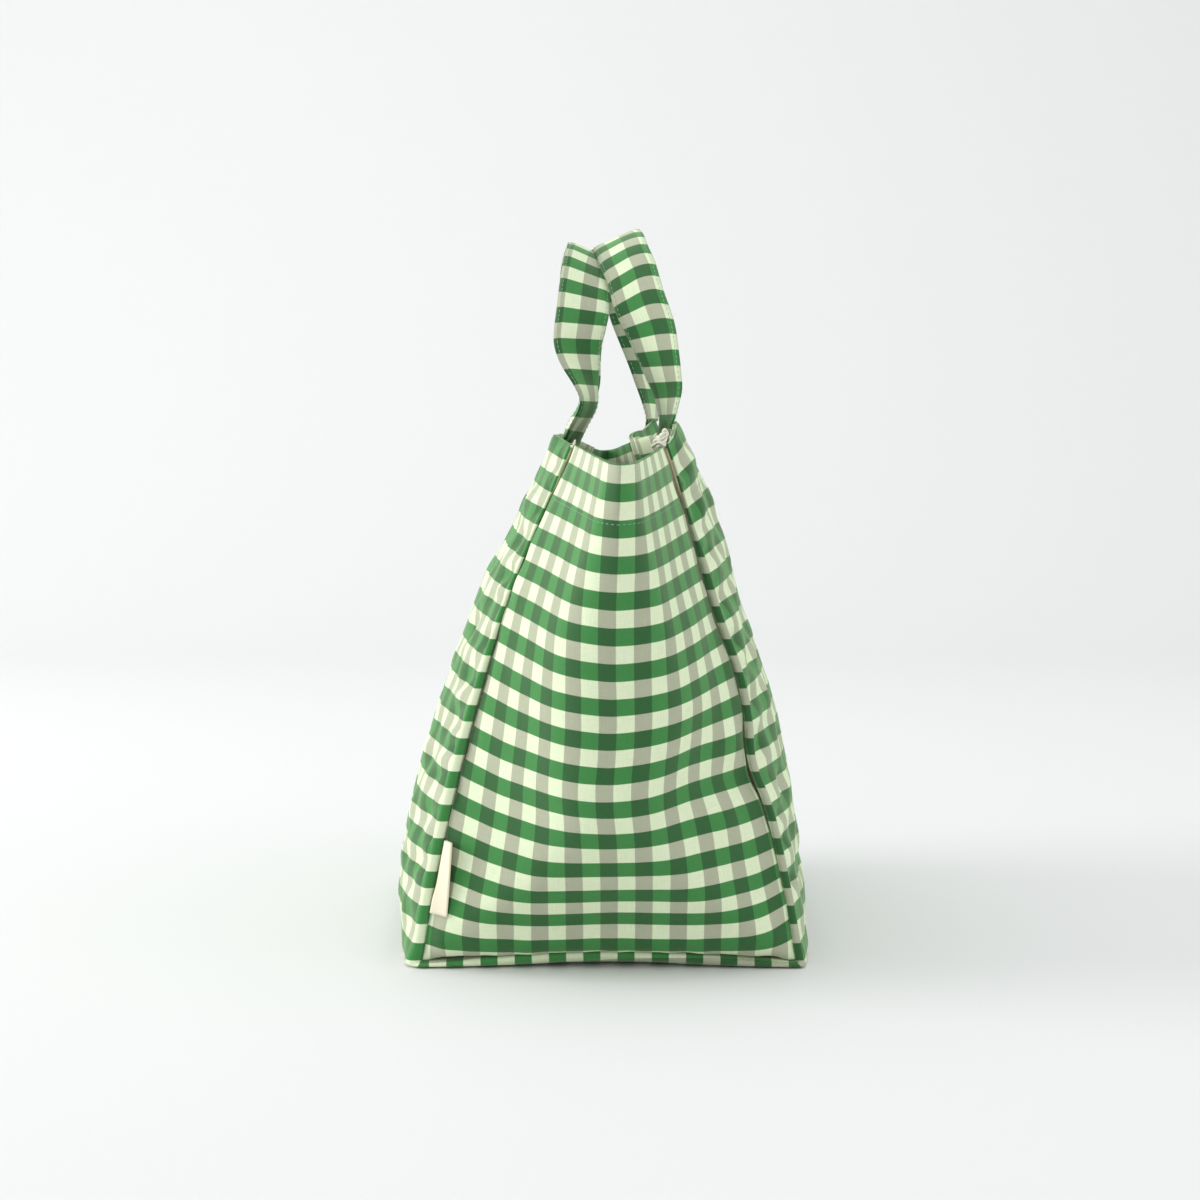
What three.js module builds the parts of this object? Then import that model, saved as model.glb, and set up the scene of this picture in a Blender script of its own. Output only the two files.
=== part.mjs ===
// A check-cloth tote bag: one long body strip makes the front, base and back,
// two gussets close its ends, and two flat straps stand up from its mouth.
// Millimetres, +Z up, origin on the floor under the middle of the base.
// +X is the right-hand end, -Y is the front.
import * as THREE from "three";

// Driving dimensions of the body
const BASE_WIDTH = 300; // between the two end faces, along X
const BASE_DEPTH = 200; // between the gusset's two bottom corners, along Y
const PANEL_LENGTH = 286; // cloth length of the front or back at its ends, floor to rim
const RIM_CROWN = 5; // extra cloth length in the middle of the rim
const LEAN_AT_BASE = 9.6; // degrees from upright, where the ends leave the floor
const LEAN_AT_RIM = 21; // degrees from upright, at the rim
const END_SETBACK = 10; // how far the ends draw in along X from base to rim
const BELLY = 20.5; // how far the filled front and back swell, low down
const BELLY_AT_RIM = 6.5;
const BELLY_SQUARENESS = 4; // power of the swell's curve from end to end
const BELLY_FOOT = 12; // power that brings the swell in at the floor
const BELLY_FADE = 1; // power that takes the swell away towards the rim

// Cloth, seams and clearances
const CLOTH = 1.2;
const SEAM_GAP = 0.3; // between two sewn pieces
const LAYER_GAP = 0.5; // between two layers that lie on each other
const WELT = 5.5; // body cloth turned onto the end face round each gusset

// Driving dimensions of the gussets
const GUSSET_RIM_WIDTH = 176; // cloth width at the rim
const FOLD_APEX = 98; // cloth height where the two corner folds meet
const CREASE_ROUND = 12; // half the cloth that a fold takes to turn
const SIDE_ROUND = 60; // extra cloth over which the sides turn, half way up
const NOSE_BLUNT = 0.5; // share of the turn at the rim's nose itself

// Mouth facings and seam bindings
const FACING_DEPTH = 29;
const FACING_INSET = 6; // facing ends stop short of the corner
const BINDING_WIDTH = 8;
const BINDING_THICK = 2;
const BINDING_OVERLAP = 3; // part of the binding behind the welt

// Straps
const STRAP_WIDTH = 29;
const STRAP_THICK = 2.4;
const STRAP_END = 34; // length sewn inside the mouth
const STRAP_PROUD = 6.5; // the strap bends over at this height above the rim
const STRAP_TWIST_START = 5; // it rises flat on the panel to this height
const STRAP_TWIST_RISE = 40; // and is square to the panel at this one
const STRAP_STEP_RISE = 16; // height in which it steps in from the rim
const FRONT_STRAP = { spacing: 138, rise: 101, step: 12, lean: 2, leanCurve: 1 };
const BACK_STRAP = { spacing: 144, rise: 108, step: 5, lean: 18, leanCurve: 1.3 };

// Label and corner tacks
const LABEL_LENGTH = 36; // along the seam
const LABEL_REACH = 10; // out of the seam
const LABEL_THICK = 1.2;
const LABEL_FROM_FLOOR = 26;
const LABEL_LIFT = 42; // degrees from the end face
const TACK = { x: 7, y: 9, z: 5.5 };

// Facet counts
const PANEL_STEPS = 24;
const PANEL_ROWS = 16;
const GUSSET_STEPS = 14; // each side of the crease
const GUSSET_ROWS = 18;
const STRAP_ROWS = 48;
const SEWN_ROWS = 4;
const BINDING_ROWS = 10;
const NOSE_ROWS = 120; // steps of the crease's height sum
const SECTION_SUMS = 120; // steps of a gusset section's sum
const SOLVER_TURNS = 40;

const radians = THREE.MathUtils.degToRad;
const { clamp, lerp, smoothstep } = THREE.MathUtils;

// One material for each kind of cloth
const checkCloth = new THREE.MeshStandardMaterial({ color: 0x4f8f58, roughness: 0.85, metalness: 0 });
const bindingTape = new THREE.MeshStandardMaterial({ color: 0xb9ab90, roughness: 0.9, metalness: 0 });
const labelRibbon = new THREE.MeshStandardMaterial({ color: 0xefe8d2, roughness: 0.8, metalness: 0 });
const sewingThread = new THREE.MeshStandardMaterial({ color: 0xf1f2e6, roughness: 0.8, metalness: 0 });

const bag = new THREE.Group();

function addPiece(name, geometry, material) {
  const mesh = new THREE.Mesh(geometry, material);
  mesh.name = name;
  bag.add(mesh);
  return mesh;
}

// A closed solid through rings of points. Each ring goes out along one face and back along the other,
// so that a ladder of quads between the two closes each end.
function loft(rings) {
  const count = rings[0].length;
  const positions = rings.flat().flatMap((p) => [p.x, p.y, p.z]);
  const index = [];
  const quad = (a, b, c, d) => index.push(a, b, c, a, c, d);
  for (let r = 0; r + 1 < rings.length; r++) {
    for (let i = 0; i < count; i++) {
      const j = (i + 1) % count;
      quad(r * count + i, r * count + j, (r + 1) * count + j, (r + 1) * count + i);
    }
  }
  const last = (rings.length - 1) * count;
  for (let i = 0; i + 1 < count / 2; i++) {
    const back = count - 1 - i;
    quad(i, back, back - 1, i + 1);
    quad(last + i, last + i + 1, last + back - 1, last + back);
  }
  const geometry = new THREE.BufferGeometry();
  geometry.setAttribute("position", new THREE.Float32BufferAttribute(positions, 3));
  geometry.setIndex(signedVolume(positions, index) < 0 ? index.reverse() : index);
  geometry.computeVertexNormals();
  return geometry;
}

function signedVolume(positions, index) {
  const corner = (i) => new THREE.Vector3().fromArray(positions, 3 * i);
  let sum = 0;
  for (let i = 0; i < index.length; i += 3) {
    sum += corner(index[i]).dot(corner(index[i + 1]).cross(corner(index[i + 2])));
  }
  return sum;
}

const steps = (count, from, to) => Array.from({ length: count + 1 }, (_, i) => lerp(from, to, i / count));

// The line where the front or back meets an end face, by cloth length from the floor.
// Its lean grows evenly, so its place is the sum of a turning direction.
const leanStart = radians(LEAN_AT_BASE);
const leanRate = radians(LEAN_AT_RIM - LEAN_AT_BASE) / PANEL_LENGTH;
const leanAt = (length) => leanStart + leanRate * length;

function edge(length) {
  const lean = leanAt(length);
  return {
    x: BASE_WIDTH / 2 - (END_SETBACK * length) / PANEL_LENGTH,
    y: BASE_DEPTH / 2 + WELT - (Math.cos(leanStart) - Math.cos(lean)) / leanRate,
    z: (Math.sin(lean) - Math.sin(leanStart)) / leanRate,
  };
}

function swell(length, acrossShare) {
  const up = clamp(length / PANEL_LENGTH, 0, 1);
  const foot = 1 - (1 - up) ** BELLY_FOOT;
  const depth = lerp(BELLY, BELLY_AT_RIM, up ** BELLY_FADE);
  return foot * depth * (1 - Math.abs(acrossShare) ** BELLY_SQUARENESS);
}

const rimLength = (acrossShare) => PANEL_LENGTH + RIM_CROWN * (1 - acrossShare ** 2);

// A point of the front (side -1) or back (side 1), a depth in from its outer face.
function panelPoint(side, acrossShare, length, depth) {
  const line = edge(length);
  const lean = leanAt(length);
  const out = swell(length, acrossShare) - depth;
  return new THREE.Vector3(
    line.x * acrossShare,
    side * (line.y + out * Math.cos(lean)),
    Math.max(0, line.z + out * Math.sin(lean)),
  );
}

// The front or back: its middle swells, and each end turns in by the welt round the gusset. The welt is
// mitred at the floor, where the base's own welt meets it.
const MITRE = CLOTH + SEAM_GAP;

function panel(side) {
  const turned = (end, length, depth) => {
    const line = edge(length);
    const width = lerp(MITRE, WELT - SEAM_GAP, clamp(length / WELT, 0, 1));
    return new THREE.Vector3(end * (line.x - depth), side * (line.y - width), line.z);
  };
  const corner = (end, length, depth) => {
    const line = edge(length);
    return new THREE.Vector3(end * (line.x - depth), side * (line.y - depth), line.z);
  };
  const rows = [0, ...steps(PANEL_ROWS, WELT / PANEL_LENGTH, 1)];
  const rings = rows.map((share) => {
    const face = (depth) => {
      const middle = steps(PANEL_STEPS, -1, 1).slice(1, -1);
      const line = middle.map((across) => panelPoint(side, across, share * rimLength(across), depth));
      const length = share * PANEL_LENGTH;
      const left = [turned(-1, length, depth), corner(-1, length, depth)];
      const right = [corner(1, length, depth), turned(1, length, depth)];
      return [...left, ...line, ...right];
    };
    return [...face(0), ...face(CLOTH).reverse()];
  });
  return loft(rings);
}

addPiece("front_panel", panel(-1), checkCloth);
addPiece("back_panel", panel(1), checkCloth);

// The base: the same strip lying flat, with its two ends turned up by the welt.
function basePanel() {
  const end = edge(0).x;
  const ring = (y, lip) => {
    const at = (x, z) => new THREE.Vector3(x, y, z);
    const outer = [at(-end, lip), at(-end, 0), at(end, 0), at(end, lip)];
    const rise = end - CLOTH;
    return [...outer, at(rise, lip), at(rise, CLOTH), at(-rise, CLOTH), at(-rise, lip)];
  };
  const far = edge(0).y - MITRE - CLOTH - SEAM_GAP;
  const near = edge(WELT).y - WELT;
  const low = CLOTH + SEAM_GAP / 2;
  const high = WELT - SEAM_GAP;
  return loft([ring(-far, low), ring(-near, high), ring(near, high), ring(far, low)]);
}

addPiece("base_panel", basePanel(), checkCloth);

// The gusset. Across each height the cloth keeps its width: it turns back from the crease to the seam by
// just the angle that brings its edge to the seam, so it bulges out into a blunt nose above two corner folds.
const SEAM_LENGTH = PANEL_LENGTH - WELT;

function seamAt(height) {
  const line = edge(height + WELT);
  return { x: line.x, y: line.y - WELT, z: line.z };
}

const gussetHalf = (height) => lerp(seamAt(0).y, GUSSET_RIM_WIDTH / 2, height / SEAM_LENGTH);
const foldHalf = (height) => Math.max(0, FOLD_APEX - height);

function gussetSection(height) {
  const half = gussetHalf(height);
  const seam = seamAt(height);
  const flat = foldHalf(height);
  const above = clamp((height - FOLD_APEX) / (SEAM_LENGTH - FOLD_APEX), 0, 1);
  const blunt = NOSE_BLUNT * above;
  const spread = CREASE_ROUND + SIDE_ROUND * Math.sin(Math.PI * above);
  const weight = (s) => blunt + (1 - blunt) * smoothstep(s, flat - CREASE_ROUND, flat + spread);
  const ds = half / SECTION_SUMS;
  const sum = (turn) => {
    const at = [{ y: 0, back: 0, angle: turn * weight(0) }];
    for (let i = 0; i < SECTION_SUMS; i++) {
      const angle = turn * weight((i + 0.5) * ds);
      const from = at[i];
      at.push({ y: from.y + ds * Math.cos(angle), back: from.back + ds * Math.sin(angle), angle });
    }
    return at;
  };
  let low = 0;
  let high = Math.PI / 2;
  for (let i = 0; i < SOLVER_TURNS; i++) {
    const turn = (low + high) / 2;
    if (sum(turn)[SECTION_SUMS].y > seam.y) low = turn;
    else high = turn;
  }
  const line = sum(low);
  return { half, seam, flat, line, nose: seam.x + line[SECTION_SUMS].back };
}

// The crease's height at each cloth height: what its reach out leaves of its length.
const creaseHeights = [seamAt(0).z];
let lastNose = gussetSection(0).nose;
for (let i = 1; i <= NOSE_ROWS; i++) {
  const { nose } = gussetSection((SEAM_LENGTH * i) / NOSE_ROWS);
  const length = SEAM_LENGTH / NOSE_ROWS;
  const climb = Math.sqrt(Math.max(0, length ** 2 - (nose - lastNose) ** 2));
  creaseHeights.push(creaseHeights[i - 1] + climb);
  lastNose = nose;
}

function creaseHeight(height) {
  const place = clamp((height / SEAM_LENGTH) * NOSE_ROWS, 0, NOSE_ROWS);
  const row = Math.min(Math.floor(place), NOSE_ROWS - 1);
  return lerp(creaseHeights[row], creaseHeights[row + 1], place - row);
}

// A row of the right-hand gusset, from its front seam to its back seam, a depth in from its outer face.
// It can stop a number of columns short of both seams.
function gussetRow(height, depth, short) {
  const { half, seam, flat, line, nose } = gussetSection(height);
  const columns = GUSSET_STEPS - short;
  return steps(2 * columns, -columns, columns).map((column) => {
    const s = (half * column) / GUSSET_STEPS;
    const place = (Math.abs(s) / half) * SECTION_SUMS;
    const cell = Math.min(Math.floor(place), SECTION_SUMS - 1);
    const share = place - cell;
    const { angle } = line[cell + 1];
    const y = lerp(line[cell].y, line[cell + 1].y, share);
    const back = lerp(line[cell].back, line[cell + 1].back, share);
    const sign = Math.sign(s);
    const climb = clamp((Math.abs(s) - flat) / (half - flat), 0, 1);
    const inward = column === 0 ? depth / Math.cos(line[0].angle) : depth * Math.cos(angle);
    return new THREE.Vector3(
      nose - back - inward,
      sign * (y - depth * Math.sin(angle)),
      lerp(creaseHeight(height), seam.z, climb),
    );
  });
}

// Gusset cloth through a list of cloth heights, between two depths; end -1 is the left-hand one.
function gussetCloth(end, heights, outer, inner, short) {
  const rings = heights.map((height) => {
    const out = gussetRow(height, outer, short);
    const back = gussetRow(height, inner, short).reverse();
    return [...out, ...back].map((p) => new THREE.Vector3(end * p.x, p.y, p.z));
  });
  return loft(rings);
}

const ENDS = [
  { word: "right", end: 1 },
  { word: "left", end: -1 },
];
const SIDES = [
  { word: "front", side: -1 },
  { word: "back", side: 1 },
];

const hemHeights = steps(SEWN_ROWS, SEAM_LENGTH - FACING_DEPTH, SEAM_LENGTH);
const wallHeights = steps(GUSSET_ROWS, 0, hemHeights[0]).slice(0, -1);

for (const { word, end } of ENDS) {
  const cloth = gussetCloth(end, [...wallHeights, ...hemHeights], 0, CLOTH, 0);
  addPiece(`${word}_gusset`, cloth, checkCloth);
}

// The facings: bands of the same cloth sewn inside the mouth.
const FACING_OUTER = CLOTH + LAYER_GAP;
const FACING_INNER = FACING_OUTER + CLOTH;

function panelPatch(side, fromAcross, toAcross, top, below, above, outer, inner, columns) {
  const rings = steps(SEWN_ROWS, -below, above).map((past) => {
    const face = (depth) =>
      steps(columns, fromAcross, toAcross).map((across) =>
        panelPoint(side, across, top(across) + past, depth),
      );
    return [...face(outer), ...face(inner).reverse()];
  });
  return loft(rings);
}

const facingShare = 1 - FACING_INSET / edge(PANEL_LENGTH).x;
for (const { word, side } of SIDES) {
  const band = panelPatch(
    side, -facingShare, facingShare, rimLength, FACING_DEPTH, 0, FACING_OUTER, FACING_INNER, PANEL_STEPS,
  );
  addPiece(`${word}_facing`, band, checkCloth);
}
for (const { word, end } of ENDS) {
  const band = gussetCloth(end, hemHeights, FACING_OUTER, FACING_INNER, 1);
  addPiece(`${word}_gusset_facing`, band, checkCloth);
}

// The bindings: tape folded over the raw edges behind each seam, inside the bag.
const bindingOuter = CLOTH + SEAM_GAP;
const bindingInner = bindingOuter + BINDING_THICK;

function sideBinding(side, end) {
  const rings = steps(BINDING_ROWS, WELT + BINDING_WIDTH, PANEL_LENGTH - SEAM_GAP).map((length) => {
    const line = edge(length);
    const seam = line.y - WELT;
    const near = seam - (BINDING_WIDTH - BINDING_OVERLAP);
    const far = seam + BINDING_OVERLAP;
    const at = (depth, y) => new THREE.Vector3(end * (line.x - depth), side * y, line.z);
    return [at(bindingOuter, near), at(bindingOuter, far), at(bindingInner, far), at(bindingInner, near)];
  });
  return loft(rings);
}

function baseBinding(end) {
  const line = edge(WELT);
  const halfDepth = line.y - WELT;
  const low = WELT - BINDING_OVERLAP;
  const at = (depth, y, z) => new THREE.Vector3(end * (line.x - depth), y, z);
  const rings = [-halfDepth, halfDepth].map((y) => [
    at(bindingOuter, y, low),
    at(bindingOuter, y, low + BINDING_WIDTH),
    at(bindingInner, y, low + BINDING_WIDTH),
    at(bindingInner, y, low),
  ]);
  return loft(rings);
}

for (const { word, end } of ENDS) {
  for (const { word: sideWord, side } of SIDES) {
    addPiece(`${sideWord}_${word}_seam_binding`, sideBinding(side, end), bindingTape);
  }
  addPiece(`base_${word}_seam_binding`, baseBinding(end), bindingTape);
}

// The straps: each stands up as a half ellipse between its two sewn ends. It leaves the mouth flat on the
// facing and turns square to it, so that it lies flat over a hand.
const STRAP_OUTER = FACING_INNER + LAYER_GAP;
const STRAP_INNER = STRAP_OUTER + STRAP_THICK;
const STRAP_MIDDLE = (STRAP_OUTER + STRAP_INNER) / 2;
const rimX = edge(PANEL_LENGTH).x;

function strapRing(centre, wide, thick, share) {
  const corners = [
    [-1, 0.5], [-0.94, 1], [0.94, 1], [1, 0.5],
    [1, -0.5], [0.94, -1], [-0.94, -1], [-1, -0.5],
  ];
  return corners.map(([w, t]) =>
    centre.clone()
      .addScaledVector(wide, (w * STRAP_WIDTH) / 2)
      .addScaledVector(thick, (share * t * STRAP_THICK) / 2),
  );
}

function strap(side, { spacing, rise, step, lean, leanCurve }) {
  const across = spacing / 2 / rimX;
  const root = panelPoint(side, across, rimLength(across) + STRAP_PROUD, STRAP_MIDDLE);
  const point = (turn) => {
    const up = rise * Math.sin(turn);
    const inward = step * smoothstep(up, 0, STRAP_STEP_RISE) + lean * Math.max(0, up / rise) ** leanCurve;
    return new THREE.Vector3((spacing / 2) * Math.cos(turn), root.y - side * inward, root.z + up);
  };
  const nudge = Math.PI / STRAP_ROWS / 10;
  const rings = steps(STRAP_ROWS, 0, Math.PI).map((turn) => {
    const along = point(Math.min(turn + nudge, Math.PI)).sub(point(Math.max(turn - nudge, 0))).normalize();
    const twist = (Math.PI / 2) * smoothstep(rise * Math.sin(turn), STRAP_TWIST_START, STRAP_TWIST_RISE);
    const wide = new THREE.Vector3(Math.cos(twist) * Math.sign(Math.cos(turn)), Math.sin(twist), 0);
    wide.addScaledVector(along, -along.dot(wide)).normalize();
    return strapRing(point(turn), wide, along.clone().cross(wide), 1);
  });
  // Each end is rounded about the line on which the strap bends over.
  const round = (turn, direction) =>
    [75, 50, 25].map((degrees) => {
      const foot = point(turn).setZ(root.z - (STRAP_THICK / 2) * Math.sin(radians(degrees)));
      const wide = new THREE.Vector3(direction, 0, 0);
      return strapRing(foot, wide, new THREE.Vector3(0, direction, 0), Math.cos(radians(degrees)));
    });
  return loft([...round(0, 1), ...rings, ...round(Math.PI, -1).reverse()]);
}

const STRAPS = { front: FRONT_STRAP, back: BACK_STRAP };
for (const { word, side } of SIDES) {
  const shape = STRAPS[word];
  addPiece(`${word}_handle`, strap(side, shape), checkCloth);
  const half = STRAP_WIDTH / 2;
  for (const { word: endWord, end } of ENDS) {
    const middle = (end * shape.spacing) / 2;
    const from = (middle - half) / rimX;
    const to = (middle + half) / rimX;
    const top = () => rimLength(middle / rimX);
    const above = STRAP_PROUD - STRAP_THICK / 2 - LAYER_GAP;
    const sewn = panelPatch(side, from, to, top, STRAP_END, above, STRAP_OUTER, STRAP_INNER, SEWN_ROWS);
    addPiece(`${word}_handle_${endWord}_end`, sewn, checkCloth);
  }
}

// The label: a folded ribbon caught in the right-hand gusset's front seam.
function labelTab() {
  const tilt = radians(LABEL_LIFT);
  const out = new THREE.Vector3(Math.sin(tilt), Math.cos(tilt), 0);
  const thick = new THREE.Vector3(Math.cos(tilt), -Math.sin(tilt), 0);
  const half = LABEL_THICK / 2;
  const rings = steps(2, LABEL_FROM_FLOOR, LABEL_FROM_FLOOR + LABEL_LENGTH).map((length) => {
    const line = edge(length);
    const pivot = new THREE.Vector3(line.x + half + LAYER_GAP, WELT - line.y, line.z);
    const at = (reach, lift) => pivot.clone().addScaledVector(out, reach).addScaledVector(thick, lift);
    const far = LABEL_REACH;
    return [at(0, -half), at(far, -half), at(far + half, 0), at(far, half), at(0, half), at(-half, 0)];
  });
  return loft(rings);
}

addPiece("label_tab", labelTab(), labelRibbon);

// The corner tacks: lumps of thread and bunched hem on top of each end seam.
for (const { word, end } of ENDS) {
  for (const { word: sideWord, side } of SIDES) {
    const line = edge(PANEL_LENGTH);
    const tack = new THREE.IcosahedronGeometry(1 / 2, 2);
    tack.scale(TACK.x, TACK.y, TACK.z);
    tack.translate(end * line.x, side * (line.y - WELT / 2), line.z + TACK.z / 2 + SEAM_GAP);
    addPiece(`${sideWord}_${word}_corner_tack`, tack, sewingThread);
  }
}

export default bag;
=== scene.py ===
import math
import bpy
import numpy as np
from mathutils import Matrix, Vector


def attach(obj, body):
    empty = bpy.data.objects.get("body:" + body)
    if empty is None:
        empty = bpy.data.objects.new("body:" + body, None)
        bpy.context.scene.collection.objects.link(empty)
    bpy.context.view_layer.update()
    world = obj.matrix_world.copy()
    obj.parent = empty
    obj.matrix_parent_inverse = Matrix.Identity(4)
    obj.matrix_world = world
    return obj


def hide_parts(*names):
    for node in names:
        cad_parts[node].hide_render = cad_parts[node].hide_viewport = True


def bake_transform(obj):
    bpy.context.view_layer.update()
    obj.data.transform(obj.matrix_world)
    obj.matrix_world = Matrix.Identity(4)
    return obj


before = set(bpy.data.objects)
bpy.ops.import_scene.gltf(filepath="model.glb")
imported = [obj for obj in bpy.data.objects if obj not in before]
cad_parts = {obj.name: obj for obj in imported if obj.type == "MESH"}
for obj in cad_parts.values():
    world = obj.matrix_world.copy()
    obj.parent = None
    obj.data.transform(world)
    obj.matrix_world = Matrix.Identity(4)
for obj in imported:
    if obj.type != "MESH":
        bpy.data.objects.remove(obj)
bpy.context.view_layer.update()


# Studio: the bag stands on a pale sweep, lit softly from the camera's left, and is seen
# from beyond its right-hand end, a little above the rim.
def add_area_light(name, place, target, size, power, colour):
    lamp = bpy.data.lights.new(name, "AREA")
    lamp.shape = "RECTANGLE"
    lamp.size, lamp.size_y = size
    lamp.energy = power
    lamp.color = colour
    lamp_object = bpy.data.objects.new(name, lamp)
    lamp_object.location = place
    facing = Vector(target) - Vector(place)
    lamp_object.rotation_euler = facing.to_track_quat("-Z", "Y").to_euler()
    bpy.context.collection.objects.link(lamp_object)


scene = bpy.context.scene
scene.view_settings.view_transform = "Standard"
camera = bpy.data.cameras.new("camera")
camera.lens, camera.sensor_width = 75.0, 36.0
camera.clip_end = 50
camera_object = bpy.data.objects.new("camera", camera)
camera_object.location = (1.450, -0.0047, 0.285)
look_down = 4.0
camera_object.rotation_euler = (math.radians(90 - look_down), 0, math.radians(90))
bpy.context.collection.objects.link(camera_object)
scene.camera = camera_object

world = bpy.data.worlds.new("studio")
world.use_nodes = True
world.node_tree.nodes["Background"].inputs["Color"].default_value = (0.93, 0.94, 0.94, 1)
world.node_tree.nodes["Background"].inputs["Strength"].default_value = 0.94
scene.world = world

floor_front, floor_back, floor_half_width, bend_radius, wall_top = 5.0, -1.6, 6.0, 1.2, 6.0
bend = [(floor_back - bend_radius * math.sin(turn), bend_radius - bend_radius * math.cos(turn))
        for turn in np.linspace(0.1, math.pi / 2, 14)]
floor_profile = [(floor_front, 0.0), (floor_back, 0.0), *bend, (floor_back - bend_radius, wall_top)]
floor_mesh = bpy.data.meshes.new("floor")
floor_points = [(x, y, z) for x, z in floor_profile for y in (-floor_half_width, floor_half_width)]
floor_faces = [(2 * i, 2 * i + 2, 2 * i + 3, 2 * i + 1) for i in range(len(floor_profile) - 1)]
floor_mesh.from_pydata(floor_points, [], floor_faces)
floor_mesh.polygons.foreach_set("use_smooth", [True] * len(floor_faces))
floor = bpy.data.objects.new("floor", floor_mesh)
bpy.context.collection.objects.link(floor)
floor_material = bpy.data.materials.new("floor_paper")
floor_material.use_nodes = True
floor_shader = floor_material.node_tree.nodes["Principled BSDF"]
floor_shader.inputs["Base Color"].default_value = (0.76, 0.765, 0.765, 1)
floor_shader.inputs["Roughness"].default_value = 0.9
floor_mesh.materials.append(floor_material)
add_area_light("window", (-0.1, -2.7, 0.85), (0, 0, 0.15), (1.8, 1.5), 53, (1, 0.99, 0.97))
add_area_light("ceiling", (-0.6, -0.3, 2.6), (0, 0, 0), (2.2, 2.2), 17, (0.98, 1, 1))
add_area_light("fill", (0.9, 1.9, 0.7), (0, 0, 0.3), (1.6, 1.6), 4.5, (1, 1, 0.97))


# Check cloth, shared by body, gussets, facings and straps: a plain weave of cream with grey stripes
# along the warp and green bands along the weft. Each piece's UV map holds its flat cut, in metres.
def woven_check():
    group = bpy.data.node_groups.new("woven check", "ShaderNodeTree")
    face = group.interface
    face.new_socket("Cut", in_out="INPUT", socket_type="NodeSocketVector")
    face.new_socket("Warp Shift", in_out="INPUT", socket_type="NodeSocketFloat")
    face.new_socket("Weft Shift", in_out="INPUT", socket_type="NodeSocketFloat")
    face.new_socket("Color", in_out="OUTPUT", socket_type="NodeSocketColor")
    face.new_socket("Roughness", in_out="OUTPUT", socket_type="NodeSocketFloat")
    face.new_socket("Height", in_out="OUTPUT", socket_type="NodeSocketFloat")
    nodes, links = group.nodes, group.links
    inputs, outputs = nodes.new("NodeGroupInput"), nodes.new("NodeGroupOutput")

    def put(socket, value):
        if hasattr(value, "is_linked"):
            links.new(value, socket)
        else:
            socket.default_value = value

    def math_node(operation, a, b=0.0, c=0.0):
        node = nodes.new("ShaderNodeMath")
        node.operation = operation
        for socket, value in zip(node.inputs, (a, b, c)):
            put(socket, value)
        return node.outputs[0]

    def noise(along, across, detail):
        scaled = nodes.new("ShaderNodeVectorMath")
        scaled.operation = "MULTIPLY"
        links.new(inputs.outputs["Cut"], scaled.inputs[0])
        scaled.inputs[1].default_value = (along, across, 1)
        node = nodes.new("ShaderNodeTexNoise")
        node.inputs["Scale"].default_value = 1
        node.inputs["Detail"].default_value = detail
        links.new(scaled.outputs[0], node.inputs["Vector"])
        return math_node("SUBTRACT", node.outputs[0], 0.5)

    def mix(share, a, b):
        node = nodes.new("ShaderNodeMix")
        node.data_type = "RGBA"
        put(node.inputs["Factor"], share)
        put([s for s in node.inputs if s.name == "A" and s.type == "RGBA"][0], a)
        put([s for s in node.inputs if s.name == "B" and s.type == "RGBA"][0], b)
        return [s for s in node.outputs if s.type == "RGBA"][0]

    split = nodes.new("ShaderNodeSeparateXYZ")
    links.new(inputs.outputs["Cut"], split.inputs[0])
    repeat, yarn_pitch = 0.018, 0.0011

    def stripe(place, shift, wobble):
        wavy = math_node("ADD", place, math_node("MULTIPLY", wobble, 0.0004))
        turns = math_node("DIVIDE", math_node("ADD", wavy, shift), repeat)
        off = math_node("ABSOLUTE", math_node("SUBTRACT", math_node("FRACT", turns), 0.5))
        ramp = nodes.new("ShaderNodeMapRange")
        ramp.interpolation_type = "SMOOTHSTEP"
        put(ramp.inputs["Value"], off)
        ramp.inputs["From Min"].default_value, ramp.inputs["From Max"].default_value = 0.262, 0.238
        return ramp.outputs[0]

    grey = stripe(split.outputs[0], inputs.outputs["Warp Shift"], noise(1500, 90, 1))
    green = stripe(split.outputs[1], inputs.outputs["Weft Shift"], noise(90, 1500, 1))
    cream, grey_on_cream = (0.74, 0.83, 0.585, 1), (0.43, 0.452, 0.33, 1)
    leaf_green, grey_on_green = (0.052, 0.235, 0.062, 1), (0.031, 0.118, 0.037, 1)
    cream_band = mix(grey, cream, grey_on_cream)
    green_band = mix(grey, leaf_green, grey_on_green)
    plain = mix(green, cream_band, green_band)
    yarn = math_node("ADD", noise(2600, 120, 2), noise(120, 2600, 2))
    patch = noise(22, 22, 2)
    shade = math_node("ADD", math_node("MULTIPLY", yarn, 0.22), math_node("MULTIPLY", patch, 0.10))
    tone = nodes.new("ShaderNodeVectorMath")
    tone.operation = "SCALE"
    links.new(plain, tone.inputs[0])
    links.new(math_node("ADD", shade, 1.0), tone.inputs["Scale"])
    links.new(tone.outputs[0], outputs.inputs["Color"])
    links.new(math_node("ADD", math_node("MULTIPLY", yarn, 0.1), 0.82), outputs.inputs["Roughness"])
    warp_yarn = math_node("SINE", math_node("MULTIPLY", split.outputs[0], 2 * math.pi / yarn_pitch))
    weft_yarn = math_node("SINE", math_node("MULTIPLY", split.outputs[1], 2 * math.pi / yarn_pitch))
    weave = math_node("MULTIPLY", warp_yarn, weft_yarn)
    rough_weave = math_node("ADD", math_node("MULTIPLY", weave, 0.3), yarn)
    links.new(rough_weave, outputs.inputs["Height"])
    return group


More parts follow.
